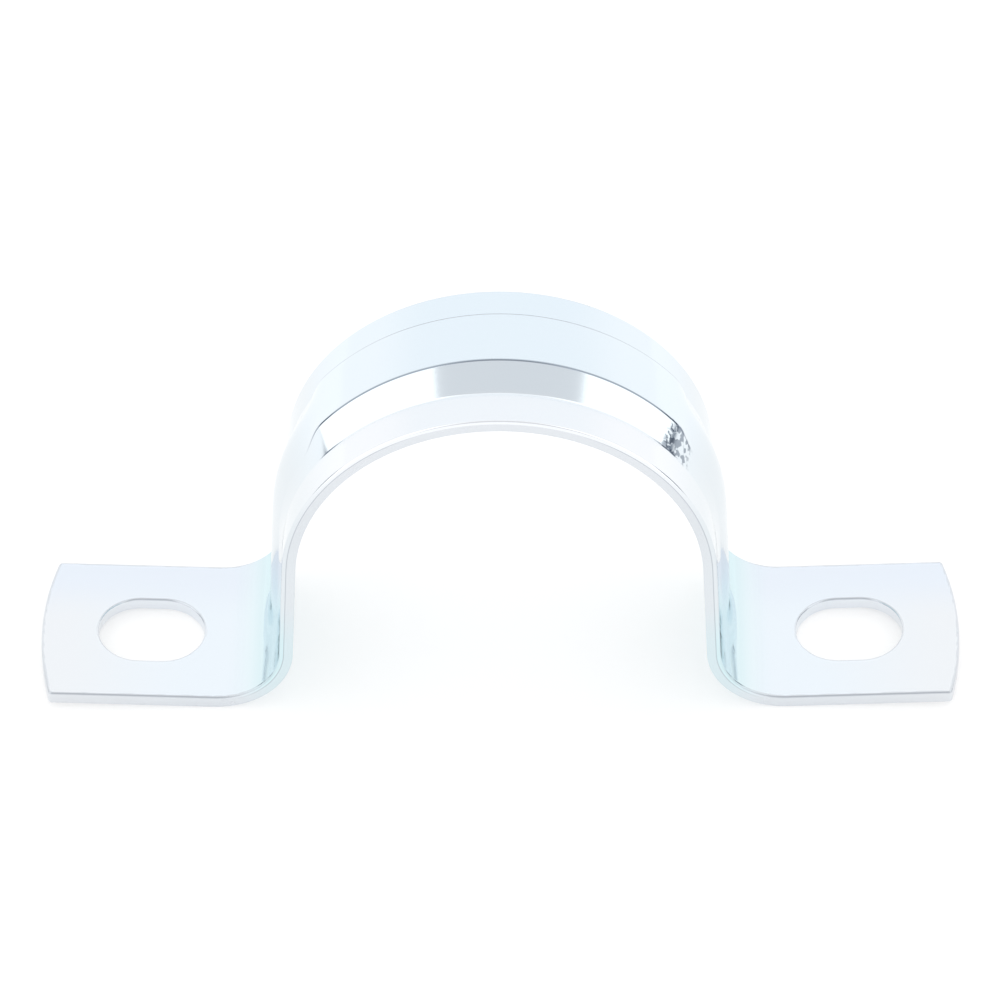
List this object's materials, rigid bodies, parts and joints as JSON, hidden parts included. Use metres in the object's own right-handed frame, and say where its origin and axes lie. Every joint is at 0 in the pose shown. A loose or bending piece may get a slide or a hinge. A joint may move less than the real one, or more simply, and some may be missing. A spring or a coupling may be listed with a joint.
{
  "type": "conduit strap",
  "caption": "Two-hole saddle strap with a pressed rib, which clamps a round conduit to a wall.",
  "frame": {"origin": "on the wall plane, under the middle of the arch, at the bottom centre of the strap's box", "axes": "+X from foot to foot along the line of slots, +Y along the conduit, +Z away from the wall"},
  "size_m": [0.1032, 0.0206, 0.0466],
  "materials": {
    "zinc": "bright zinc plating with a clear, slightly blue passivate, on cold-rolled sheet steel"
  },
  "bodies": {
    "root": {"strap": "zinc"}
  },
  "joints": []
}
